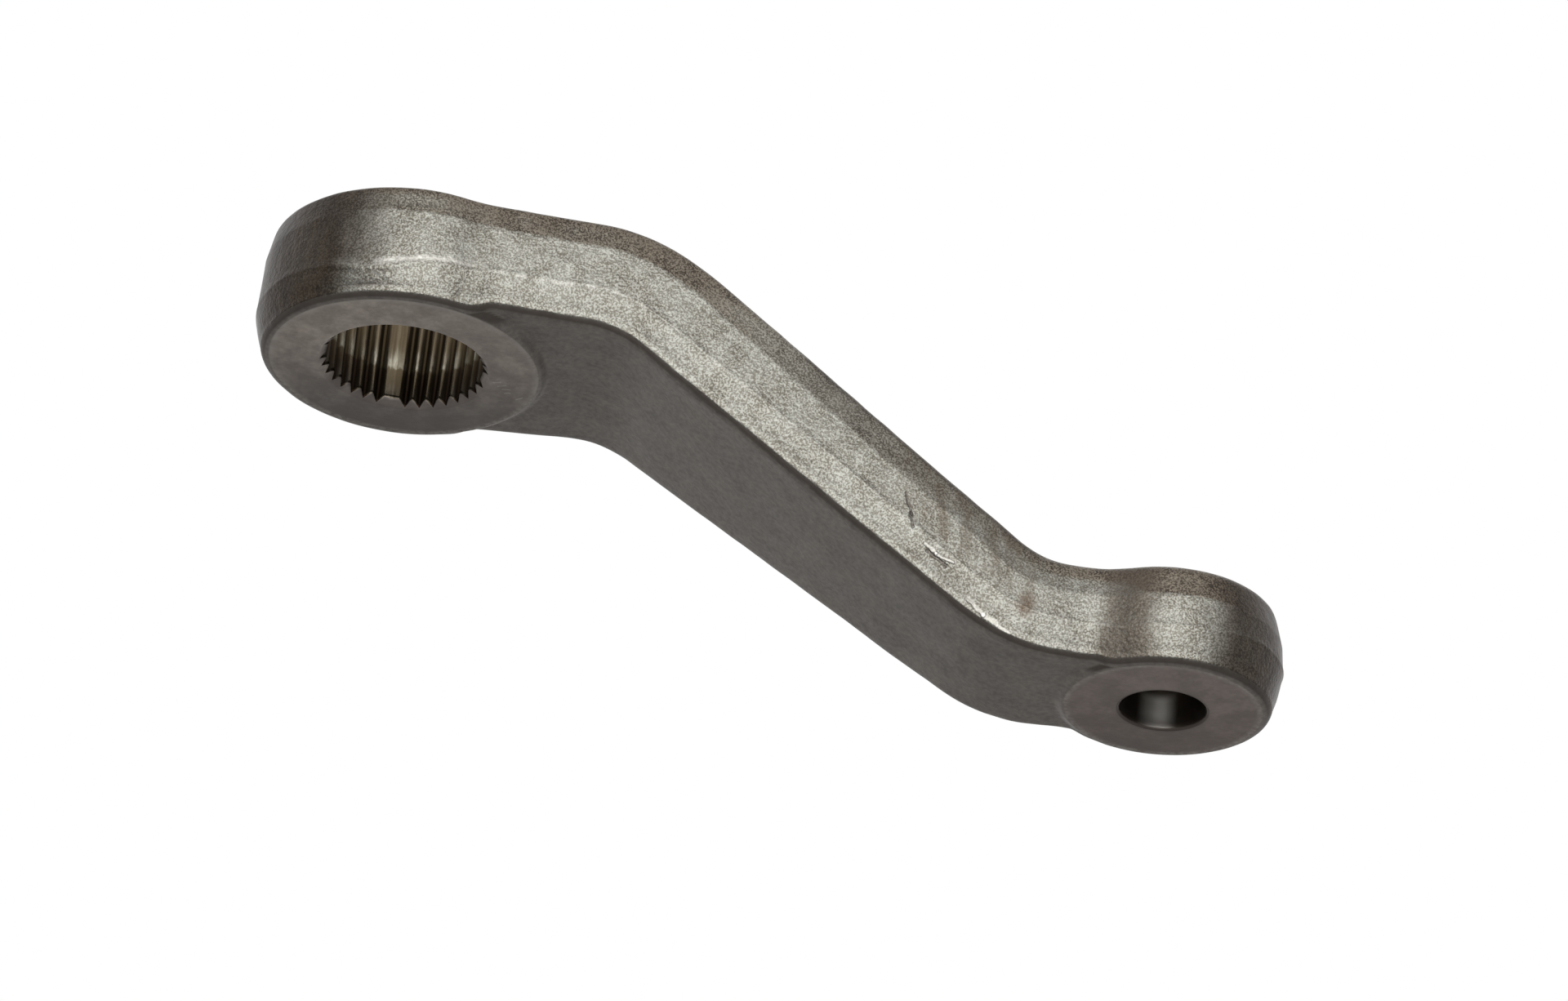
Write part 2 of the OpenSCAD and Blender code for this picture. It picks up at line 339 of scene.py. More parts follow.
def unevenSkin(points):
    # slow waves and small lumps in all three directions, none on the machined faces and in the holes
    fromShaft = np.hypot(points[:, 0], points[:, 1])
    fromStud = np.hypot(points[:, 0] - forging["centreDistance"], points[:, 1])
    shaftFree = forging["shaftPadR"] - 1
    studFree = forging["studPadR"] - 1
    free = smooth((fromShaft - shaftFree) / 4) * smooth((fromStud - studFree) / 4)
    moves = []
    for axis in range(3):
        waves = latticeNoise(points, surface["waveSize"], surface["seed"] + 10 + axis)
        lumps = latticeNoise(points, surface["lumpSize"], surface["seed"] + 20 + axis)
        moves.append(surface["waveHeight"] * waves + surface["lumpHeight"] * lumps)
    return points + np.stack(moves, 1) * free[:, None]


# Grids joined into one closed mesh

class Patch:
    # collects grids of points, with a row of quads between neighbours
    def __init__(self):
        self.points = []
        self.quads = []
        self.finish = []
        self.triangles = []
        self.triangleFinish = []
        self.count = 0

    def add(self, grid, finish, closed=False, flip=False):
        rows, columns = grid.shape[:2]
        index = np.arange(rows * columns).reshape(rows, columns) + self.count
        right = np.roll(index, -1, axis=1) if closed else index[:, 1:]
        left = index if closed else index[:, :-1]
        quads = np.stack([left[:-1], right[:-1], right[1:], left[1:]], -1).reshape(-1, 4)
        self.points.append(grid.reshape(-1, 3))
        self.quads.append(quads[:, ::-1] if flip else quads)
        rowFinish = np.broadcast_to(finish, rows - 1)
        self.finish.append(np.repeat(rowFinish, len(quads) // (rows - 1)))
        self.count += rows * columns
        return index


def capZone(ring, centreX, mouthR, holdR, heightOf, patch, finish, flip, facing=None):
    # rays from a hole's mouth: circles as far as holdR, then a blend out to the ring
    angle = np.arctan2(ring[:, 1], ring[:, 0] - centreX)
    way = np.stack([np.cos(angle), np.sin(angle)], 1)
    centre = np.array([centreX, 0.0])
    radii = np.linspace(mouthR, holdR, meshSteps["circleRows"])
    circles = centre + radii[:, None, None] * way[None]
    t = np.linspace(0, 1, meshSteps["outerRows"])[:, None, None]
    outer = blend(circles[-1][None], ring[None, :, :2], t)
    if facing is None:
        plan = np.vstack([circles, outer[1:]])
        z = heightOf(plan[..., 0], plan[..., 1])
    else:
        wallTop = heightOf(outer[..., 0], outer[..., 1])
        plan = np.vstack([circles, outer])
        z = np.vstack([np.full(circles.shape[:2], facing), wallTop])
    index = patch.add(np.dstack([plan, z]), finish, closed=True, flip=flip)
    return index[0], angle


def zoneRing(level, first, last, patchStart):
    # the outline's points round one boss, closed by a straight line across the shank
    half = len(level) // 2 + 1
    t = np.linspace(0, 1, meshSteps["across"] + 1)[1:-1, None]
    if patchStart:
        far, near = level[:first + 1], level[-first:]
        line = blend(far[-1][None], near[0][None], t)
        return np.vstack([far, line, near])
    far, near = level[last:half], level[half:len(level) - last + 1]
    line = blend(near[-1][None], far[0][None], t)
    return np.vstack([far, near, line])


def middleGrid(level, first, last, heightOf):
    # straight lines across the shank between the two zones round the bosses
    count = len(level)
    stations = np.arange(first, last + 1)
    far = level[stations]
    near = level[(count - stations) % count]
    t = np.linspace(0, 1, meshSteps["across"] + 1)[None, :, None]
    plan = blend(far[:, None, :2], near[:, None, :2], t)
    return np.dstack([plan, heightOf(plan[..., 0], plan[..., 1])])


def boreWall():
    # a tapered wall whose radius is the land's, or the groove's 90 degree V where there is one
    height = forging["shaftBossH"]
    root = serration["rootR"]
    land = root - serration["depth"]
    pitch = 2 * math.pi / serration["places"]
    halfGroove = math.atan(serration["depth"] / land)
    local = np.array([-halfGroove, -halfGroove * 0.66, -halfGroove * 0.33, 0.0, halfGroove * 0.33,
                      halfGroove * 0.66, halfGroove, pitch / 2])
    place = np.repeat(np.arange(serration["places"]), len(local))
    offset = np.tile(local, serration["places"])
    angle = math.radians(serration["blankAngle"]) + place * pitch + offset
    blank = place % (serration["places"] // serration["blanks"]) == 0
    groove = root - root * np.abs(np.sin(offset))
    radius = np.where(blank, land, np.maximum(land, groove))
    mouth = root + serration["leadIn"]
    topMouth = mouth + height * serration["taper"]
    leadEnd = (mouth - radius) / (1 + serration["taper"])
    topStart = (height - topMouth + radius) / (1 - serration["taper"])
    rows = []
    for t in np.linspace(0, 1, meshSteps["leadRows"]):
        rows.append((leadEnd * t, mouth - leadEnd * t))
    for t in np.linspace(0, 1, meshSteps["boreRows"])[1:]:
        z = blend(leadEnd, topStart, t)
        rows.append((z, radius + serration["taper"] * z))
    for t in np.linspace(0, 1, meshSteps["leadRows"])[1:]:
        z = blend(topStart, height, t)
        rows.append((z, topMouth - (height - z)))
    z = np.array([row[0] for row in rows])
    r = np.array([row[1] for row in rows])
    return np.stack([r * np.cos(angle), r * np.sin(angle), z], -1), angle


def studWall():
    # a cone that narrows upwards, with a rounded edge at each mouth
    angle = np.linspace(0, 2 * math.pi, meshSteps["holeAngles"], endpoint=False)
    height = forging["studBossH"]
    broken = studHole["edgeBreak"]
    turn = np.radians(np.linspace(0, 90, meshSteps["breakRows"] + 1))
    low = np.stack([broken * (1 - np.cos(turn)), studHole["r"] + broken * (1 - np.sin(turn))], 1)
    z = np.linspace(broken, height - broken, meshSteps["holeRows"])
    wall = np.stack([z, studHole["r"] - studHole["taper"] * z], 1)
    high = np.stack([height - broken * (1 - np.cos(turn[::-1])),
                     studHole["r"] - studHole["taper"] * height + broken * (1 - np.sin(turn[::-1]))], 1)
    rows = np.vstack([low[:-1], wall, high[1:]])
    r = rows[:, 1:2]
    x = forging["centreDistance"] + r * np.cos(angle)
    y = r * np.sin(angle)
    return np.stack([x, y, np.broadcast_to(rows[:, :1] - forging["drop"], x.shape)], -1), angle


def wallFinish(wall, finish, edgeRows):
    # a hole's own finish, with the forging's at its two broken edges
    rows = np.full(len(wall) - 1, finish)
    rows[:edgeRows] = 0
    rows[-edgeRows:] = 0
    return rows


def stitch(patch, innerIndex, innerAngle, outerIndex, outerAngle, finish, flip):
    # triangles between two circles, one for each step along either of them, in order of angle
    def inOrder(index, angle):
        angle = np.mod(angle, 2 * math.pi)
        order = np.argsort(angle)
        return index[order], angle[order]

    inner, a = inOrder(innerIndex, innerAngle)
    outer, b = inOrder(outerIndex, outerAngle)
    besideInner = outer[np.searchsorted(b, a) - 1]
    besideOuter = inner[np.searchsorted(a, b, side="right") - 1]
    alongInner = np.stack([np.roll(inner, 1), inner, besideInner], -1)
    alongOuter = np.stack([outer, np.roll(outer, 1), besideOuter], -1)
    triangles = np.vstack([alongInner, alongOuter])
    patch.triangles.append(triangles[:, ::-1] if flip else triangles)
    patch.triangleFinish.append(np.full(len(triangles), finish))


def buildArm():
    # flank, underside, top side, serrated bore and stud hole, as grids on shared edges
    half = outlineHalf()
    outline = mirrored(half)
    # the zone round each boss ends just clear of its pad
    first = np.argmax(half[:, 0] > forging["shaftPadR"] + forging["padSoft"] + 1)
    last = np.argmax(half[:, 0] > forging["centreDistance"] - forging["studPadR"] - forging["padSoft"] - 1)
    levels = levelRows()
    flank = addFlash(flankPoints(outline, levels), outline, levels)
    patch = Patch()
    patch.add(flank, 0, closed=True)
    shaftH, studZ = forging["shaftBossH"], forging["studBossH"] - forging["drop"]
    bore, boreAngle = boreWall()
    hole, holeAngle = studWall()
    boreIndex = patch.add(bore, wallFinish(bore, 1, meshSteps["leadRows"] - 1), closed=True, flip=True)
    holeIndex = patch.add(hole, wallFinish(hole, 2, meshSteps["breakRows"]), closed=True, flip=True)
    margin = forging["draftTop"] + forging["skinMargin"]
    underInset = forging["draftUnder"] + forging["underEdgeR"] + 0.8
    sides = (
        (0, underZ, True, None, None,
         forging["shaftBossR"] - underInset, forging["studBossR"] - underInset),
        (-1, lambda x, y: shankTopZ(x), False, shaftH, studZ,
         forging["shaftBossR"] - forging["shaftBandW"] - forging["shaftRoundW"] - margin,
         forging["studBossR"] - forging["studBandW"] - forging["studRoundW"] - margin),
    )
    for row, heightOf, flip, shaftFacing, studFacing, shaftHold, studHold in sides:
        level = flank[row]
        patch.add(middleGrid(level, first, last, heightOf), 0, flip=flip)
        for start, centreX, wall, wallIndex, wallAngle, hold, facing in (
                (True, 0.0, bore, boreIndex, boreAngle, shaftHold, shaftFacing),
                (False, forging["centreDistance"], hole, holeIndex, holeAngle, studHold, studFacing)):
            mouth = wall[row]
            mouthR = math.hypot(mouth[0, 0] - centreX, mouth[0, 1])
            ring = zoneRing(level, first, last, start)
            rim, rimAngle = capZone(ring, centreX, mouthR + 0.25, hold, heightOf, patch, 0, flip, facing)
            stitch(patch, wallIndex[row], wallAngle, rim, rimAngle, 0, not flip)
    return patch


def makeMesh(name, patch):
    # one mesh of all the grids: shared edges merged, and every face turned outwards
    points = np.vstack(patch.points)
    faces = np.vstack(patch.quads).tolist() + np.vstack(patch.triangles).tolist()
    finish = np.concatenate(patch.finish + patch.triangleFinish)
    mesh = bpy.data.meshes.new(name)
    mesh.from_pydata((points * mm).tolist(), [], faces)
    mesh.polygons.foreach_set("material_index", finish.astype(np.int32))
    form = bmesh.new()
    form.from_mesh(mesh)
    bmesh.ops.remove_doubles(form, verts=form.verts, dist=0.002 * mm)
    bmesh.ops.recalc_face_normals(form, faces=form.faces)
    form.to_mesh(mesh)
    openEdges = sum(1 for edge in form.edges if len(edge.link_faces) != 2)
    form.free()
    count = len(mesh.vertices)
    merged = np.empty(count * 3)
    mesh.vertices.foreach_get("co", merged)
    moved = unevenSkin(merged.reshape(-1, 3) / mm) * mm
    mesh.vertices.foreach_set("co", moved.reshape(-1))
    mesh.polygons.foreach_set("use_smooth", np.ones(len(mesh.polygons), dtype=bool))
    mesh.update()
    print(name, count, "points,", len(mesh.polygons), "faces,", openEdges, "open edges")
    return mesh


def addMask(mesh, name, values):
    layer = mesh.attributes.new(name, "FLOAT", "POINT")
    layer.data.foreach_set("value", values.astype(np.float32))


def markSkin(mesh):
    # flank is 1 where the outer skin stands upright, edge on the lower rounding and the stud hole's rim for
    # painted shade, end where it faces along the arm for painted shade, hollow shade in the stud boss's fillet
    # for painted shade, band where it leans back, crest on the parting line where a highlight is painted, upper
    # above it, and land on the crests between the grooves
    count = len(mesh.vertices)
    co = np.empty(count * 3)
    normal = np.empty(count * 3)
    mesh.vertices.foreach_get("co", co)
    mesh.vertex_normals.foreach_get("vector", normal)
    co = co.reshape(-1, 3) / mm
    normal = normal.reshape(-1, 3)
    x, y, z = co.T
    slope = np.abs(shankUnderZ(x + 0.5) - shankUnderZ(x - 0.5))
    across = normal[:, 2] * (1 + slope ** 2) ** 0.5
    half = outlineHalf()
    fromShaft = np.hypot(x, y)
    fromStud = np.hypot(x - forging["centreDistance"], y)
    inward = np.interp(x, half[:, 0], np.abs(half[:, 1])) - np.abs(y)
    inward = np.where(x < 0, forging["shaftBossR"] - fromShaft, inward)
    inward = np.where(x > forging["centreDistance"], forging["studBossR"] - fromStud, inward)
    outside = smooth((7 - inward) / 2)
    upright = (1 - smooth((-across - 0.42) / 0.2)) * (1 - smooth((across - 0.88) / 0.09))
    addMask(mesh, "flank", outside * upright)
    # painted shade: this mask darkens the lower rounding of the skin and the stud hole's broken edge
    rounding = outside * smooth((-across - 0.42) / 0.16) * (1 - smooth((-across - 0.86) / 0.1))
    holeRimShade = smooth((studHole["r"] + 0.7 - fromStud) / 0.2)
    addMask(mesh, "edge", np.maximum(rounding, holeRimShade))
    level = 1 - smooth((np.abs(across) - 0.5) / 0.4)
    above = z - partingZ(x) - ridgeWander(co)
    low = 1 - smooth((above + 1.5) / 3)
    # painted shade: where the skin of either boss faces along the arm it is painted darker
    shaftEndShade = 0.92 * smooth((-normal[:, 0] - 0.08 - 0.24 * low) / (0.5 - 0.25 * low))
    shaftEndShade = shaftEndShade + 0.08 * smooth((-normal[:, 0] - 0.7) / 0.25)
    studEndShade = 0.86 * smooth((normal[:, 0] - 0.1) / 0.38)
    studEndShade = studEndShade + 0.14 * smooth((normal[:, 0] - 0.6) / 0.3)
    addMask(mesh, "end", np.where(x < forging["centreDistance"] / 2, shaftEndShade, studEndShade) * level)
    # painted shade in the concave fillet beside the stud boss
    addMask(mesh, "hollowShade", smooth((-normal[:, 0] - 0.08) / 0.3) * smooth((x - 90) / 20) * level)
    # the brown band narrows on the way down to the stud boss and grows paler on the slope
    narrow = smooth((x - 89) / 27) * (1 - smooth((x - 138) / 10))
    deep = (shankTopZ(x) - z) / steepness(shankTopZ, x)
    brown = 1 - smooth((deep - 8.5 + 4.4 * narrow + 0.7) / 1.4)
    pale = 1 - 0.5 * smooth((x - 55) / 20) * (1 - smooth((x - 110) / 28))
    addMask(mesh, "band", smooth((across - 0.1) / 0.15) * brown * pale)
    addMask(mesh, "crest", np.exp(-(above / 0.5) ** 2))
    addMask(mesh, "upper", smooth((above - 0.5) / 3))
    land = serration["rootR"] - serration["depth"] + serration["taper"] * z
    addMask(mesh, "land", 1 - smooth((fromShaft - land - 0.1) / 0.5))


# Materials

class Shade:
    # a node's output that adds, multiplies and so on as a number does
    def __init__(self, tree, output):
        self.tree = tree
        self.output = output

    def __add__(self, other):
        return self.tree.maths("ADD", self, other)

    def __radd__(self, other):
        return self.tree.maths("ADD", other, self)

    def __sub__(self, other):
        return self.tree.maths("SUBTRACT", self, other)

    def __rsub__(self, other):
        return self.tree.maths("SUBTRACT", other, self)

    def __mul__(self, other):
        return self.tree.maths("MULTIPLY", self, other)

    def __rmul__(self, other):
        return self.tree.maths("MULTIPLY", other, self)


class ShadeTree:
    # builds one material's nodes
    def __init__(self, nodeTree):
        self.nodeTree = nodeTree
        self.nodeTree.nodes.clear()

    def node(self, kind, settings=None, sockets=None):
        made = self.nodeTree.nodes.new(kind)
        for name, value in (settings or {}).items():
            setattr(made, name, value)
        for name, value in (sockets or {}).items():
            if isinstance(value, Shade):
                self.nodeTree.links.new(value.output, made.inputs[name])
            else:
                made.inputs[name].default_value = value
        return made

    def shade(self, made, output):
        return Shade(self, made.outputs[output])

    def maths(self, operation, left, right):
        made = self.node("ShaderNodeMath", {"operation": operation}, {0: left, 1: right})
        return self.shade(made, 0)

    def point(self):
        # object coordinates in millimetres
        place = self.node("ShaderNodeTexCoord")
        scaled = self.node("ShaderNodeVectorMath", {"operation": "SCALE"},
                           {0: self.shade(place, "Object"), 3: 1 / mm})
        return self.shade(scaled, 0)

    def stretched(self, vector, factors):
        made = self.node("ShaderNodeVectorMath", {"operation": "MULTIPLY"}, {0: vector, 1: factors})
        return self.shade(made, 0)

    def part(self, vector, axis):
        return self.shade(self.node("ShaderNodeSeparateXYZ", None, {0: vector}), axis)

    def apart(self, vector, place):
        made = self.node("ShaderNodeVectorMath", {"operation": "DISTANCE"}, {0: vector, 1: place})
        return self.shade(made, "Value")

    def shaken(self, vector, size, amount):
        # the vector moved by up to half the amount each way, by noise
        made = self.node("ShaderNodeTexNoise", None, {"Vector": vector, "Scale": 1 / size, "Detail": 2.0})
        push = self.node("ShaderNodeVectorMath", {"operation": "SUBTRACT"},
                         {0: self.shade(made, "Color"), 1: (0.5, 0.5, 0.5)})
        push = self.node("ShaderNodeVectorMath", {"operation": "SCALE"}, {0: self.shade(push, 0), 3: amount})
        moved = self.node("ShaderNodeVectorMath", {"operation": "ADD"}, {0: vector, 1: self.shade(push, 0)})
        return self.shade(moved, 0)

    def onLine(self, vector, start, stop, width):
        # 1 on the straight line between two points, fading to nothing at the width
        way = np.array(stop) - np.array(start)
        away = self.shade(self.node("ShaderNodeVectorMath", {"operation": "SUBTRACT"}, {0: vector, 1: start}), 0)
        share = self.node("ShaderNodeVectorMath", {"operation": "DOT_PRODUCT"},
                          {0: away, 1: tuple(way / np.dot(way, way))})
        share = self.node("ShaderNodeClamp", None, {0: self.shade(share, "Value")})
        foot = self.node("ShaderNodeVectorMath", {"operation": "SCALE"}, {0: tuple(way), 3: self.shade(share, 0)})
        return self.ramp(self.apart(away, self.shade(foot, 0)), width, width * 0.3)

    def noise(self, vector, size, detail=2.0, roughness=0.5):
        made = self.node("ShaderNodeTexNoise", None, {
            "Vector": vector, "Scale": 1 / size, "Detail": detail, "Roughness": roughness})
        return self.shade(made, 0)

    def dents(self, vector, size):
        made = self.node("ShaderNodeTexVoronoi", {"feature": "SMOOTH_F1"}, {
            "Vector": vector, "Scale": 1 / size, "Smoothness": 0.4})
        return self.shade(made, "Distance")

    def ramp(self, value, low, high):
        # 0 below low, 1 above high, and a smooth step between them
        made = self.node("ShaderNodeMapRange", {"interpolation_type": "SMOOTHSTEP"}, {
            0: value, 1: low, 2: high, 3: 0.0, 4: 1.0})
        return self.shade(made, 0)

    def mask(self, name):
        made = self.node("ShaderNodeAttribute", {"attribute_name": name})
        return self.shade(made, "Fac")

    def mixColour(self, factor, first, second):
        made = self.node("ShaderNodeMix", {"data_type": "RGBA"}, {0: factor, 6: first, 7: second})
        return self.shade(made, 2)

    def bump(self, height, distance):
        made = self.node("ShaderNodeBump", None, {
            "Height": height, "Distance": distance, "Strength": 1.0})
        return self.shade(made, "Normal")

    def finish(self, colour, roughness, metallic, normal):
        surfaceNode = self.node("ShaderNodeBsdfPrincipled", None, {
            "Base Color": colour, "Roughness": roughness, "Metallic": metallic, "Normal": normal})
        self.node("ShaderNodeOutputMaterial", None, {"Surface": self.shade(surfaceNode, 0)})
        return surfaceNode


skin = {
    "flankDark": (0.103, 0.092, 0.074, 1),
    "flankLight": (0.315, 0.315, 0.284, 1),
    "bandDark": (0.036, 0.028, 0.021, 1),
    "bandLight": (0.178, 0.150, 0.117, 1),
    # painted highlight colour for the glint on the parting line; the folds and scuffs are drawn in it too
    "crest": (0.50, 0.49, 0.45, 1),
    # painted shade on the boss ends that face along the arm
    "endShadeDark": (0.011, 0.006, 0.003, 1),
    "endShadeLight": (0.044, 0.029, 0.018, 1),
    # painted shade in the stud boss's fillet
    "hollowShade": (0.070, 0.054, 0.041, 1),
    "streak": (0.085, 0.064, 0.045, 1),
    # dark tone for the painted shade on the lower edge and the stud hole's rim; the creases are drawn in it too
    "edge": (0.063, 0.052, 0.045, 1),
    "underDark": (0.122, 0.111, 0.104, 1),
    "underLight": (0.218, 0.198, 0.178, 1),
    # the machined faces run from faceDark to faceLight as a painted highlight towards the front side
    "faceDark": (0.118, 0.104, 0.096, 1),
    "faceLight": (0.390, 0.342, 0.300, 1),
    "faceBlotch": (0.135, 0.115, 0.106, 1),
    # painted highlight on the rim of each machined face
    "faceRimHighlight": (0.360, 0.340, 0.310, 1),
    "studFace": (0.160, 0.115, 0.104, 1),
    "rust": (0.075, 0.042, 0.022, 1),
    "grainSize": 0.45,
    "dentSize": 0.9,
    "peenSize": 2.4,
    "mottleSize": 6.0,
    "flankRoughness": 0.35,
    "underRoughness": 0.5,
    "bumpHeight": 0.15,
}


marks = {
    # on the near flank: x, z of both ends and the width of the line
    "folds": ((102.0, -34.0, 104.2, -35.8, 0.55), (104.2, -35.8, 107.6, -37.3, 0.45),
              (111.0, -43.6, 114.4, -46.4, 0.6), (114.4, -46.4, 119.4, -49.3, 0.8)),
    "creases": ((97.6, -24.2, 99.0, -28.6, 0.4), (98.8, -28.4, 99.3, -31.2, 0.45),
                (102.6, -35.4, 106.4, -38.0, 0.45)),
    # on the shaft boss's lower face: x, y
    "scuffs": ((17.6, 1.2, 19.0, 0.7, 0.22), (18.6, 2.6, 20.2, 1.9, 0.25), (19.4, 3.6, 20.9, 3.4, 0.22),
               (20.0, 4.9, 21.2, 4.6, 0.2), (22.6, 7.0, 23.6, 5.8, 0.25)),
    "rustPlace": (122.2, 0.0, -32.6),  # z is drawn in to 0.75
    "shake": 0.9,
}


def addedUp(tree, vector, lines, axis):
    total = 0.0
    for a, b, c, d, width in lines:
        start, stop = [(a, b, 0), (c, d, 0)] if axis == "Y" else [(a, 0, b), (c, 0, d)]
        total = tree.onLine(vector, start, stop, width) + total
    return total


def onFaces(tree, point):
    # 1 inside the rim of either machined face, and 1 just inside that rim alone
    level = tree.stretched(point, (1, 1, 0))
    inside = 0.0
    rim = 0.0
    for x, r in ((0.0, forging["shaftPadR"]), (forging["centreDistance"], forging["studPadR"])):
        distance = tree.apart(level, (x, 0, 0))
        inside = tree.ramp(distance, r + 0.3, r - 0.1) + inside
        rim = tree.ramp(distance, r - 1.5, r - 0.2) * tree.ramp(distance, r + 0.4, r) + rim
    return inside, rim


def forgedSteel():
    # shot-blasted scale: sparkling grain on the flanks, browner on the band, finer and darker on the underside;
    # painted shade on the boss ends, the stud boss's fillet, the lower edge and the stud hole's rim, and painted
    # highlights along the parting line and on the machined faces
    material = bpy.data.materials.new("forgedSteel")
    material.use_nodes = True
    tree = ShadeTree(material.node_tree)
    point = tree.point()
    flank = tree.mask("flank")
    grain = tree.noise(point, skin["grainSize"], 3.0, 0.65)
    fleck = tree.ramp(tree.noise(point, skin["grainSize"] * 0.8, 1.0), 0.40, 0.62)
    dents = tree.dents(point, skin["dentSize"])
    peen = tree.noise(point, skin["peenSize"], 2.0, 0.5)
    mottle = tree.ramp(tree.noise(point, skin["mottleSize"], 4.0, 0.6), 0.35, 0.65)
    band = tree.mask("band")
    darkSkin = tree.mixColour(band, skin["flankDark"], skin["bandDark"])
    lightSkin = tree.mixColour(band, skin["flankLight"], skin["bandLight"])
    flankColour = tree.mixColour(fleck * (band * 0.3 + 0.65) + mottle * 0.3, darkSkin, lightSkin)
    along = tree.part(point, "X")
    streak = tree.ramp(tree.noise(tree.stretched(point, (1, 1, 0.14)), 2.0, 4.0, 0.65), 0.36, 0.68)
    lowerBend = tree.ramp(along, 88.0, 106.0) * tree.ramp(along, 132.0, 120.0) * tree.mask("upper")
    flankColour = tree.mixColour(streak * lowerBend * 0.55, flankColour, skin["streak"])
    # painted highlight: a glint along the parting line, in patches, and unbroken near the front of the shaft boss
    glint = tree.ramp(tree.noise(point, 2.8, 3.0, 0.6), 0.46, 0.58)
    solidHighlight = tree.ramp(along, -9.0, -5.0) * tree.ramp(along, 11.0, 7.0)
    glint = glint * (tree.ramp(along, 60.0, 30.0) * 0.25 + 0.12) + solidHighlight * 0.55
    flankColour = tree.mixColour(tree.mask("crest") * glint, flankColour, skin["crest"])
    shaken = tree.shaken(point, 1.6, marks["shake"])
    near = tree.ramp(tree.part(point, "Y"), -8.0, -11.0)
    upright = tree.stretched(shaken, (1, 0, 1))
    folds = addedUp(tree, upright, marks["folds"], "Z") * near
    creases = addedUp(tree, upright, marks["creases"], "Z") * near
    rusted = tree.apart(tree.stretched(shaken, (1, 0, 0.75)), marks["rustPlace"])
    rusted = tree.ramp(rusted, 2.9, 0.2) * near
    flankColour = tree.mixColour(folds * 0.5, flankColour, skin["crest"])
    flankColour = tree.mixColour(creases * 0.6, flankColour, skin["edge"])
    flankColour = tree.mixColour(rusted * 0.7, flankColour, skin["rust"])
    # painted shade in the stud boss's fillet
    flankColour = tree.mixColour(tree.mask("hollowShade") * 0.72, flankColour, skin["hollowShade"])
    # painted shade: the boss ends darkened and browned, with some grain left in
    endShadeColour = tree.mixColour(fleck * 0.5 + streak * 0.5, skin["endShadeDark"], skin["endShadeLight"])
    flankColour = tree.mixColour(tree.mask("end"), flankColour, endShadeColour)
    speckle = tree.ramp(tree.noise(point, 1.1, 4.0, 0.65), 0.3, 0.7)
    underColour = tree.mixColour(mottle * 0.4 + speckle * 0.6, skin["underDark"], skin["underLight"])
    # painted highlight: the machined faces lighter towards the front side, a little less so away from the shaft
    # boss
    frontHighlight = tree.ramp(tree.part(point, "Y") + (mottle - 0.5) * 6, 26.0, -14.0)
    frontHighlight = frontHighlight * (1.0 - tree.ramp(along, -12.0, 20.0) * 0.2)
    faceColour = tree.mixColour(frontHighlight, skin["faceDark"], skin["faceLight"])
    faceColour = tree.mixColour(tree.ramp(along, 60.0, 110.0) * 0.55, faceColour, skin["studFace"])
    faceColour = tree.mixColour(speckle * 0.3, faceColour, skin["underDark"])
    scuffs = addedUp(tree, tree.stretched(shaken, (1, 1, 0)), marks["scuffs"], "Y")
    scuffs = scuffs * tree.ramp(tree.part(point, "Z"), 1.0, 0.5)
    faceColour = tree.mixColour(scuffs * 0.5, faceColour, skin["crest"])
    inside, rim = onFaces(tree, point)
    faceColour = tree.mixColour(mottle * 0.4, faceColour, skin["faceBlotch"])
    # painted highlight on the worn rim of each machined face
    faceColour = tree.mixColour(rim * speckle * 0.6, faceColour, skin["faceRimHighlight"])
    underColour = tree.mixColour(inside, underColour, faceColour)
    colour = tree.mixColour(flank, underColour, flankColour)
    # painted shade on the lower rounding and the stud hole's rim
    colour = tree.mixColour(tree.mask("edge") * 0.85, colour, skin["edge"])
    specks = tree.ramp(tree.noise(point, 2.6, 3.0, 0.7), 0.70, 0.78)
    colour = tree.mixColour(specks * 0.3, colour, skin["rust"])
    height = (grain * 0.6 + dents * 0.5 + peen * 0.8) * (flank * 0.8 + 0.2)
    height = height + (folds * 0.7 - creases) * flank
    roughness = flank * (skin["flankRoughness"] - skin["underRoughness"]) + skin["underRoughness"]
    tree.finish(colour, roughness + (mottle - 0.5) * 0.06, 0.9,
                tree.bump(height, skin["bumpHeight"] * mm))
    return material


broached = {
    # the grooves are painted darker than the lands as shade
    "grooveLow": (0.020, 0.013, 0.008, 1),
    "grooveHigh": (0.034, 0.025, 0.014, 1),
    "landLow": (0.070, 0.056, 0.037, 1),
    "landFoot": (0.170, 0.148, 0.118, 1),
    "landHigh": (0.250, 0.236, 0.190, 1),
    "landTop": (0.078, 0.062, 0.042, 1),
    "shadowTop": 8.1,  # painted shadow: the wall is darker up to this height, where the boss shades it
    "shineTop": 14.0,
    "streakSize": 0.5,
    "wornSize": 1.8,
    "grooveRoughness": 0.4,
    "landRoughness": 0.24,
    "bumpHeight": 0.03,
}


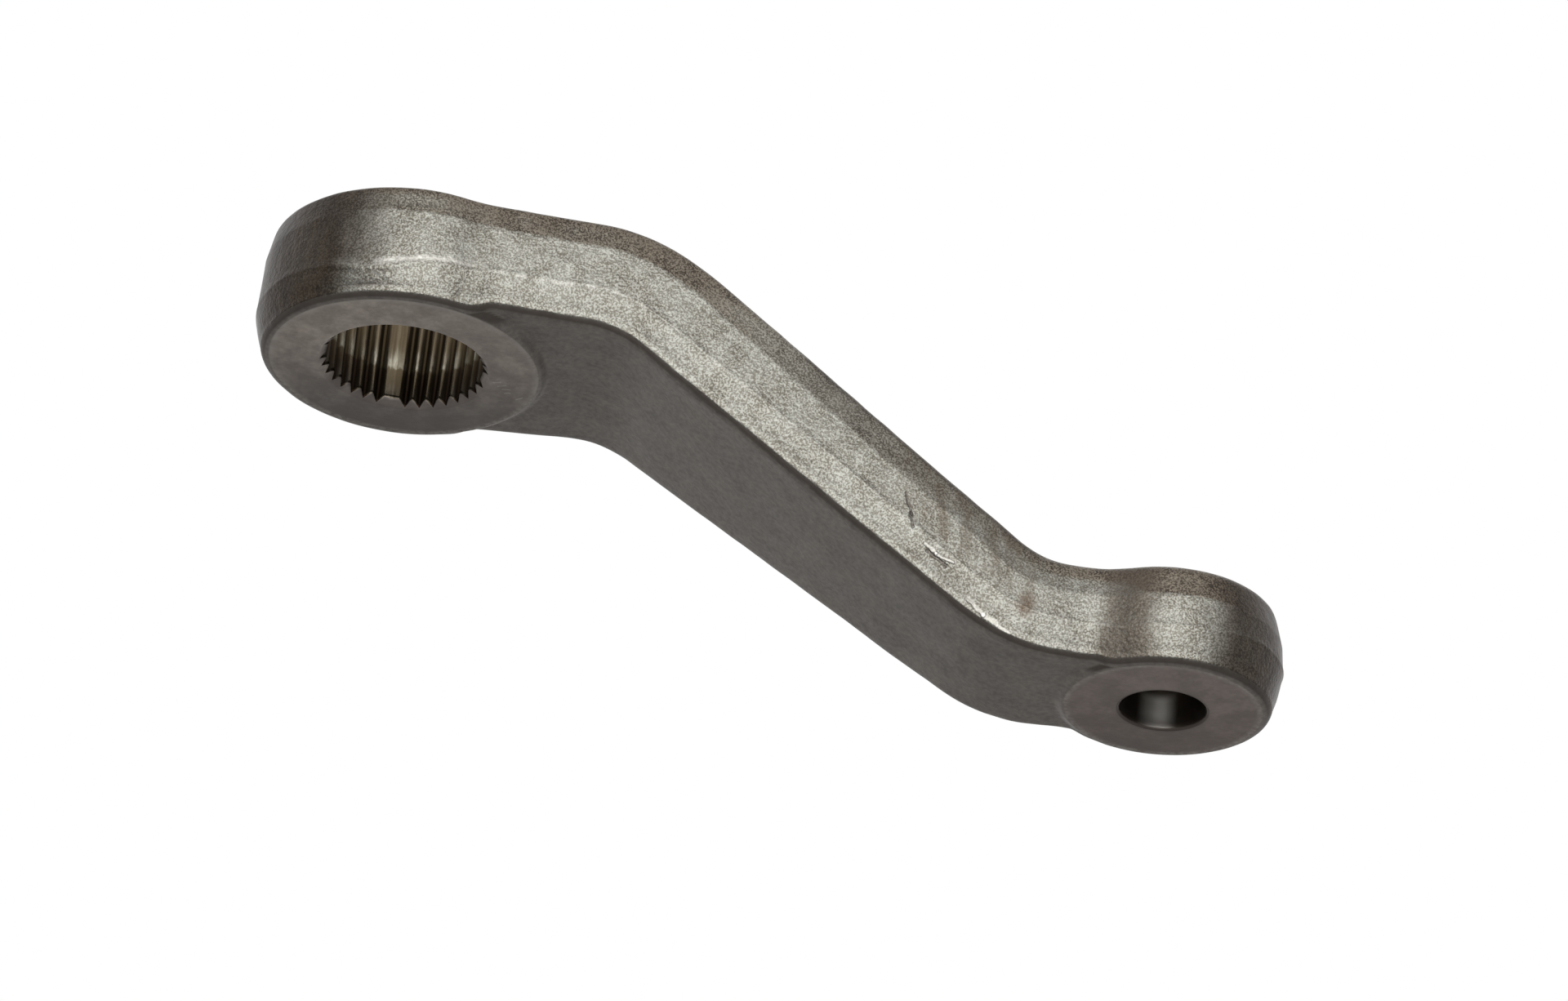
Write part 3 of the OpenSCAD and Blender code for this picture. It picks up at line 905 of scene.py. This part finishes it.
def broachedSteel():
    # lengthwise tool streaks, bright on the lands; a painted shadow darkens the lower wall, a painted highlight
    # lies just above it, and the grooves are painted dark as shade
    material = bpy.data.materials.new("broachedSteel")
    material.use_nodes = True
    tree = ShadeTree(material.node_tree)
    point = tree.point()
    land = tree.mask("land")
    streak = tree.noise(tree.stretched(point, (1, 1, 0.06)), broached["streakSize"], 3.0, 0.6)
    stain = tree.ramp(tree.noise(tree.stretched(point, (1, 1, 0.3)), 0.8, 3.0, 0.6), 0.3, 0.7)
    # painted shadow on the lower wall, lighter again near the mouth, and above it a painted highlight that fades
    # upwards
    height = tree.part(point, "Z") + (stain - 0.5) * 0.8
    unshaded = tree.ramp(height, broached["shadowTop"] - 0.4, broached["shadowTop"] + 0.4)
    shine = tree.ramp(height, broached["shineTop"], broached["shadowTop"]) * (1.2 - stain * 0.8)
    landColour = tree.mixColour(shine, broached["landTop"], broached["landHigh"])
    foot = tree.ramp(height, 5.5, 0.5)
    landColour = tree.mixColour(unshaded, tree.mixColour(foot, broached["landLow"], broached["landFoot"]), landColour)
    landColour = tree.mixColour(tree.ramp(streak, 0.45, 0.7) * 0.5, landColour, broached["grooveHigh"])
    worn = tree.ramp(tree.noise(tree.stretched(point, (1, 1, 0.02)), broached["wornSize"], 2.0), 0.58, 0.42)
    landColour = tree.mixColour(worn * 0.6, landColour, broached["grooveHigh"])
    # painted shade in the grooves, darker still under the painted shadow
    grooveColour = tree.mixColour(unshaded, broached["grooveLow"], broached["grooveHigh"])
    colour = tree.mixColour(land, grooveColour, landColour)
    roughness = land * (broached["landRoughness"] - broached["grooveRoughness"]) + broached["grooveRoughness"]
    tree.finish(colour, roughness, 1.0, tree.bump(streak, broached["bumpHeight"] * mm))
    return material


reamed = {
    "dark": (0.11, 0.092, 0.076, 1),
    # colour of the painted highlight
    "light": (0.86, 0.85, 0.82, 1),
    "ringSize": 0.35,
    "roughness": 0.32,
    "bumpHeight": 0.012,
}


def reamedSteel():
    # fine rings round the hole from the reamer, and a painted highlight where light reflects off the wall low in
    # the hole
    material = bpy.data.materials.new("reamedSteel")
    material.use_nodes = True
    tree = ShadeTree(material.node_tree)
    point = tree.point()
    rings = tree.noise(tree.stretched(point, (0.08, 0.08, 1)), reamed["ringSize"], 2.0, 0.5)
    # a leaning plane, so that each side of the hole shows the other's painted highlight
    slant = tree.part(point, "Z") + tree.part(point, "Y") * 0.53
    side = tree.part(point, "X") - forging["centreDistance"]
    paintedHighlight = tree.ramp(slant, 12.0 - forging["drop"], 10.0 - forging["drop"]) * tree.ramp(side * side, 17.0, 1.0)
    paintedHighlight = paintedHighlight * (tree.ramp(tree.part(point, "Z"), -forging["drop"], 3.6 - forging["drop"]) * 0.85 + 0.15)
    colour = tree.mixColour(paintedHighlight, reamed["dark"], reamed["light"])
    tree.finish(colour, reamed["roughness"], 1.0, tree.bump(rings, reamed["bumpHeight"] * mm))
    return material


def plainFinish(name, colour):
    material = bpy.data.materials.new(name)
    material.use_nodes = True
    tree = ShadeTree(material.node_tree)
    surfaceNode = tree.node("ShaderNodeBsdfPrincipled", None, {"Base Color": colour, "Roughness": 0.9})
    tree.node("ShaderNodeOutputMaterial", None, {"Surface": tree.shade(surfaceNode, 0)})
    return material


def placePiece(name, mesh, materials):
    piece = bpy.data.objects.new(name, mesh)
    bpy.context.scene.collection.objects.link(piece)
    for material in materials:
        mesh.materials.append(material)
    return piece


def makeArm():
    mesh = makeMesh("forgedArm", buildArm())
    markSkin(mesh)
    piece = placePiece("forged_arm", mesh, [forgedSteel(), broachedSteel(), reamedSteel()])
    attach(piece, "root")
    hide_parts("pitman_arm")
    print("forged arm made")
    return piece


# Studio

studio = {
    "floorZ": -1.5,
    "floorSize": 16.0,
    "floorColour": (0.80, 0.80, 0.79, 1),
    "worldLight": 0.5,  # how strongly the white world lights rough surfaces
    "lampTarget": (0.075, 0.0, -0.015),
}

lamps = {
    # turn is measured from the camera's side (-Y) towards +X, rise above the horizon, in degrees
    "key": {"turn": -2.0, "rise": 4.0, "away": 1.3, "width": 1.5, "height": 1.75, "watts": 17.0},
}


def directionFrom(turn, rise):
    turn, rise = math.radians(turn), math.radians(rise)
    return np.array([math.sin(turn) * math.cos(rise), -math.cos(turn) * math.cos(rise), math.sin(rise)])


def aimed(place, target):
    # a turn whose -Z points from the place to the target, with Y kept upwards
    back = (place - target) / np.linalg.norm(place - target)
    right = np.cross([0, 0, 1], back)
    right = right / np.linalg.norm(right)
    return right, np.cross(back, right), back


def setPlace(thing, place, right, up, back):
    rows = [[right[i], up[i], back[i], place[i]] for i in range(3)]
    thing.matrix_world = Matrix(rows + [[0, 0, 0, 1]])


def addCamera():
    # right, down and forward for the turn and rise, then rolled about the forward axis
    turn, rise, roll = (math.radians(cameraView[name]) for name in ("turn", "rise", "roll"))
    forward = np.array([math.sin(turn) * math.cos(rise), math.cos(turn) * math.cos(rise), math.sin(rise)])
    right = np.array([math.cos(turn), -math.sin(turn), 0])
    down = -np.cross(right, forward)
    rolledRight = math.cos(roll) * right - math.sin(roll) * down
    rolledDown = math.sin(roll) * right + math.cos(roll) * down
    place = -mm * (cameraView["originRight"] * rolledRight + cameraView["originDown"] * rolledDown
                   + cameraView["originAway"] * forward)
    camera = bpy.data.objects.new("camera", bpy.data.cameras.new("camera"))
    camera.data.sensor_width = 36.0
    camera.data.sensor_fit = "HORIZONTAL"
    camera.data.lens = cameraView["lens"]
    camera.data.clip_end = 50.0
    setPlace(camera, place, rolledRight, -rolledDown, -forward)
    bpy.context.scene.collection.objects.link(camera)
    bpy.context.scene.camera = camera
    print("camera placed")


def addLamp(name, lamp):
    data = bpy.data.lights.new(name, "AREA")
    data.shape = "RECTANGLE"
    data.size = lamp["width"]
    data.size_y = lamp["height"]
    data.energy = lamp["watts"]
    thing = bpy.data.objects.new(name, data)
    target = np.array(studio["lampTarget"])
    place = target + lamp["away"] * directionFrom(lamp["turn"], lamp["rise"])
    setPlace(thing, place, *aimed(place, target))
    bpy.context.scene.collection.objects.link(thing)


def addFloor():
    mesh = bpy.data.meshes.new("floor")
    side = studio["floorSize"] / 2
    corners = [(-side, -side, studio["floorZ"]), (side, -side, studio["floorZ"]),
               (side, side, studio["floorZ"]), (-side, side, studio["floorZ"])]
    mesh.from_pydata(corners, [], [(0, 1, 2, 3)])
    floor = placePiece("floor", mesh, [plainFinish("floorPaint", studio["floorColour"])])


def addWorld():
    # white where it is seen directly, in metal or through glass, and an even grey light otherwise
    world = bpy.data.worlds.new("studioWorld")
    world.use_nodes = True
    bpy.context.scene.world = world
    tree = ShadeTree(world.node_tree)
    path = tree.node("ShaderNodeLightPath")
    seen = tree.shade(path, "Is Camera Ray") + tree.shade(path, "Is Glossy Ray")
    seen = seen + tree.shade(path, "Is Transmission Ray")
    strength = tree.ramp(seen, 0.0, 1.0) * (1 - studio["worldLight"]) + studio["worldLight"]
    background = tree.node("ShaderNodeBackground", None, {"Color": (1, 1, 1, 1), "Strength": strength})
    tree.node("ShaderNodeOutputWorld", None, {"Surface": tree.shade(background, 0)})


addCamera()
makeArm()
addFloor()
addWorld()
for lampName, lampValues in lamps.items():
    addLamp(lampName, lampValues)
bpy.context.scene.view_settings.view_transform = "Standard"
print("studio lit")
